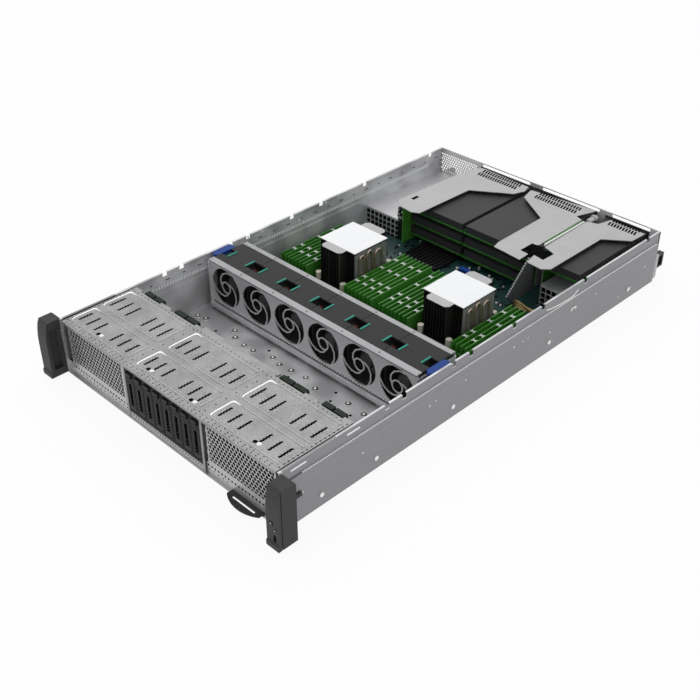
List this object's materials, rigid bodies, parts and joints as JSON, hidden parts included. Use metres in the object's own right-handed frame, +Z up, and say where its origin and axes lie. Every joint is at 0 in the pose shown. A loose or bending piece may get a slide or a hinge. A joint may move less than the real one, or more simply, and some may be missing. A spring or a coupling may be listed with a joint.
{
  "type": "2u rack server",
  "caption": "Flat rack-mount server chassis, cover off, with drive bay, fan cage, memory, heatsinks, risers and slide-out power supplies.",
  "frame": {"origin": "middle of the bounding box's bottom face, under the chassis", "axes": "+X to the right seen from the front, +Y from the drive bay at the front to the rear wall, +Z up"},
  "size_m": [0.48, 0.825, 0.087],
  "materials": {
    "tray_steel": "galvanised steel, matt",
    "panel_steel": "bright galvanised steel, fine grain",
    "mesh_steel": "pressed perforated steel",
    "bay_plastic": "black moulded plastic, matt",
    "lever_plastic": "black moulded plastic, satin",
    "ear_plastic": "dark grey moulded plastic, fine texture",
    "button_plastic": "translucent pale plastic",
    "tag_plastic": "dark grey plastic, matt",
    "fan_plastic": "charcoal moulded plastic",
    "rotor_plastic": "black glass-filled plastic",
    "release_blue": "royal blue plastic",
    "circuit_board": "dark teal solder mask",
    "socket_plastic": "black plastic",
    "memory_board": "vivid green solder mask",
    "fin_aluminium": "bare aluminium fins",
    "plate_white": "white top plate",
    "nut_ivory": "ivory plastic",
    "riser_steel": "bright galvanised steel",
    "card_steel": "dark nickel-plated steel",
    "psu_steel": "galvanised steel housing",
    "bay_steel": "galvanised steel",
    "stud_steel": "turned steel"
  },
  "bodies": {
    "chassis": {"chassis_tray": "tray_steel", "front_top_panel": "panel_steel", "front_mesh": "mesh_steel", "drive_cage": "panel_steel", "backplane": "circuit_board", "ear_left": "ear_plastic", "ear_right": "ear_plastic", "fan_cage": "panel_steel", "motherboard": "circuit_board", "board_sockets": "socket_plastic", "memory_modules": "memory_board", "heatsink_left": "fin_aluminium", "heatsink_right": "fin_aluminium", "heatsink_plates": "plate_white", "heatsink_nuts": "nut_ivory", "riser_bracket_left": "riser_steel", "riser_bracket_middle": "riser_steel", "riser_bracket_right": "riser_steel", "riser_boards": "circuit_board", "add_in_cards": "card_steel", "psu_bays": "bay_steel", "rear_panel": "tray_steel", "rail_studs": "stud_steel"},
    "carrier_1": {"drive_carrier_1": "bay_plastic"},
    "lever_1": {"carrier_lever_1": "lever_plastic"},
    "carrier_2": {"drive_carrier_2": "bay_plastic"},
    "lever_2": {"carrier_lever_2": "lever_plastic"},
    "carrier_3": {"drive_carrier_3": "bay_plastic"},
    "lever_3": {"carrier_lever_3": "lever_plastic"},
    "carrier_4": {"drive_carrier_4": "bay_plastic"},
    "lever_4": {"carrier_lever_4": "lever_plastic"},
    "carrier_5": {"drive_carrier_5": "bay_plastic"},
    "lever_5": {"carrier_lever_5": "lever_plastic"},
    "carrier_6": {"drive_carrier_6": "bay_plastic"},
    "lever_6": {"carrier_lever_6": "lever_plastic"},
    "carrier_7": {"drive_carrier_7": "bay_plastic"},
    "lever_7": {"carrier_lever_7": "lever_plastic"},
    "carrier_8": {"drive_carrier_8": "bay_plastic"},
    "lever_8": {"carrier_lever_8": "lever_plastic"},
    "fan_1": {"fan_module_1": "fan_plastic"},
    "rotor_1": {"fan_rotor_1": "rotor_plastic"},
    "fan_2": {"fan_module_2": "fan_plastic"},
    "rotor_2": {"fan_rotor_2": "rotor_plastic"},
    "fan_3": {"fan_module_3": "fan_plastic"},
    "rotor_3": {"fan_rotor_3": "rotor_plastic"},
    "fan_4": {"fan_module_4": "fan_plastic"},
    "rotor_4": {"fan_rotor_4": "rotor_plastic"},
    "fan_5": {"fan_module_5": "fan_plastic"},
    "rotor_5": {"fan_rotor_5": "rotor_plastic"},
    "fan_6": {"fan_module_6": "fan_plastic"},
    "rotor_6": {"fan_rotor_6": "rotor_plastic"},
    "cage_lever_left": {"fan_lever_left": "release_blue"},
    "cage_lever_right": {"fan_lever_right": "release_blue"},
    "power_key": {"power_button": "button_plastic"},
    "id_key": {"id_button": "button_plastic"},
    "tag": {"pull_tag": "tag_plastic"},
    "supply_left": {"psu_left": "psu_steel"},
    "supply_latch_left": {"psu_latch_left": "release_blue"},
    "supply_right": {"psu_right": "psu_steel"},
    "supply_latch_right": {"psu_latch_right": "release_blue"}
  },
  "joints": [
    {"name": "carrier_slide_1", "type": "slide", "parent": "chassis", "child": "carrier_1", "axis": [0, -1, 0], "range_m": [0, 0.105]},
    {"name": "lever_pivot_1", "type": "hinge", "parent": "carrier_1", "child": "lever_1", "pos_m": [-0.06563, -0.3847, 0.0175], "axis": [1, 0, 0], "range_deg": [0, 60]},
    {"name": "carrier_slide_2", "type": "slide", "parent": "chassis", "child": "carrier_2", "axis": [0, -1, 0], "range_m": [0, 0.105]},
    {"name": "lever_pivot_2", "type": "hinge", "parent": "carrier_2", "child": "lever_2", "pos_m": [-0.04688, -0.3847, 0.0175], "axis": [1, 0, 0], "range_deg": [0, 60]},
    {"name": "carrier_slide_3", "type": "slide", "parent": "chassis", "child": "carrier_3", "axis": [0, -1, 0], "range_m": [0, 0.105]},
    {"name": "lever_pivot_3", "type": "hinge", "parent": "carrier_3", "child": "lever_3", "pos_m": [-0.02813, -0.3847, 0.0175], "axis": [1, 0, 0], "range_deg": [0, 60]},
    {"name": "carrier_slide_4", "type": "slide", "parent": "chassis", "child": "carrier_4", "axis": [0, -1, 0], "range_m": [0, 0.105]},
    {"name": "lever_pivot_4", "type": "hinge", "parent": "carrier_4", "child": "lever_4", "pos_m": [-0.00937, -0.3847, 0.0175], "axis": [1, 0, 0], "range_deg": [0, 60]},
    {"name": "carrier_slide_5", "type": "slide", "parent": "chassis", "child": "carrier_5", "axis": [0, -1, 0], "range_m": [0, 0.105]},
    {"name": "lever_pivot_5", "type": "hinge", "parent": "carrier_5", "child": "lever_5", "pos_m": [0.00937, -0.3847, 0.0175], "axis": [1, 0, 0], "range_deg": [0, 60]},
    {"name": "carrier_slide_6", "type": "slide", "parent": "chassis", "child": "carrier_6", "axis": [0, -1, 0], "range_m": [0, 0.105]},
    {"name": "lever_pivot_6", "type": "hinge", "parent": "carrier_6", "child": "lever_6", "pos_m": [0.02813, -0.3847, 0.0175], "axis": [1, 0, 0], "range_deg": [0, 60]},
    {"name": "carrier_slide_7", "type": "slide", "parent": "chassis", "child": "carrier_7", "axis": [0, -1, 0], "range_m": [0, 0.105]},
    {"name": "lever_pivot_7", "type": "hinge", "parent": "carrier_7", "child": "lever_7", "pos_m": [0.04688, -0.3847, 0.0175], "axis": [1, 0, 0], "range_deg": [0, 60]},
    {"name": "carrier_slide_8", "type": "slide", "parent": "chassis", "child": "carrier_8", "axis": [0, -1, 0], "range_m": [0, 0.105]},
    {"name": "lever_pivot_8", "type": "hinge", "parent": "carrier_8", "child": "lever_8", "pos_m": [0.06563, -0.3847, 0.0175], "axis": [1, 0, 0], "range_deg": [0, 60]},
    {"name": "fan_lift_1", "type": "slide", "parent": "chassis", "child": "fan_1", "axis": [0, 0, 1], "range_m": [0, 0.075]},
    {"name": "rotor_spin_1", "type": "hinge", "parent": "fan_1", "child": "rotor_1", "pos_m": [-0.1685, -0.1175, 0.0505], "axis": [0, 1, 0], "continuous": true},
    {"name": "fan_lift_2", "type": "slide", "parent": "chassis", "child": "fan_2", "axis": [0, 0, 1], "range_m": [0, 0.075]},
    {"name": "rotor_spin_2", "type": "hinge", "parent": "fan_2", "child": "rotor_2", "pos_m": [-0.1011, -0.1175, 0.0505], "axis": [0, 1, 0], "continuous": true},
    {"name": "fan_lift_3", "type": "slide", "parent": "chassis", "child": "fan_3", "axis": [0, 0, 1], "range_m": [0, 0.075]},
    {"name": "rotor_spin_3", "type": "hinge", "parent": "fan_3", "child": "rotor_3", "pos_m": [-0.0337, -0.1175, 0.0505], "axis": [0, 1, 0], "continuous": true},
    {"name": "fan_lift_4", "type": "slide", "parent": "chassis", "child": "fan_4", "axis": [0, 0, 1], "range_m": [0, 0.075]},
    {"name": "rotor_spin_4", "type": "hinge", "parent": "fan_4", "child": "rotor_4", "pos_m": [0.0337, -0.1175, 0.0505], "axis": [0, 1, 0], "continuous": true},
    {"name": "fan_lift_5", "type": "slide", "parent": "chassis", "child": "fan_5", "axis": [0, 0, 1], "range_m": [0, 0.075]},
    {"name": "rotor_spin_5", "type": "hinge", "parent": "fan_5", "child": "rotor_5", "pos_m": [0.1011, -0.1175, 0.0505], "axis": [0, 1, 0], "continuous": true},
    {"name": "fan_lift_6", "type": "slide", "parent": "chassis", "child": "fan_6", "axis": [0, 0, 1], "range_m": [0, 0.075]},
    {"name": "rotor_spin_6", "type": "hinge", "parent": "fan_6", "child": "rotor_6", "pos_m": [0.1685, -0.1175, 0.0505], "axis": [0, 1, 0], "continuous": true},
    {"name": "cage_lever_left_turn", "type": "hinge", "parent": "chassis", "child": "cage_lever_left", "pos_m": [-0.208, -0.0975, 0.0835], "axis": [-1, 0, 0], "range_deg": [0, 80]},
    {"name": "cage_lever_right_turn", "type": "hinge", "parent": "chassis", "child": "cage_lever_right", "pos_m": [0.208, -0.0975, 0.0835], "axis": [-1, 0, 0], "range_deg": [0, 80]},
    {"name": "power_press", "type": "slide", "parent": "chassis", "child": "power_key", "axis": [0, 1, 0], "range_m": [0, 0.001], "stiffness_N_per_m": 800, "springref_m": -0.0005},
    {"name": "id_press", "type": "slide", "parent": "chassis", "child": "id_key", "axis": [0, 1, 0], "range_m": [0, 0.001], "stiffness_N_per_m": 800, "springref_m": -0.0005},
    {"name": "tag_slide", "type": "slide", "parent": "chassis", "child": "tag", "axis": [0, -1, 0], "range_m": [0, 0.06]},
    {"name": "supply_slide_left", "type": "slide", "parent": "chassis", "child": "supply_left", "axis": [0, 1, 0], "range_m": [0, 0.17]},
    {"name": "supply_latch_left_turn", "type": "hinge", "parent": "supply_left", "child": "supply_latch_left", "pos_m": [-0.1781, 0.4004, 0.0039], "axis": [1, 0, 0], "range_deg": [0, 30], "stiffness_Nm_per_rad": 0.3, "springref_deg": -11.46},
    {"name": "supply_slide_right", "type": "slide", "parent": "chassis", "child": "supply_right", "axis": [0, 1, 0], "range_m": [0, 0.17]},
    {"name": "supply_latch_right_turn", "type": "hinge", "parent": "supply_right", "child": "supply_latch_right", "pos_m": [0.1781, 0.4004, 0.0039], "axis": [1, 0, 0], "range_deg": [0, 30], "stiffness_Nm_per_rad": 0.3, "springref_deg": -11.46}
  ]
}
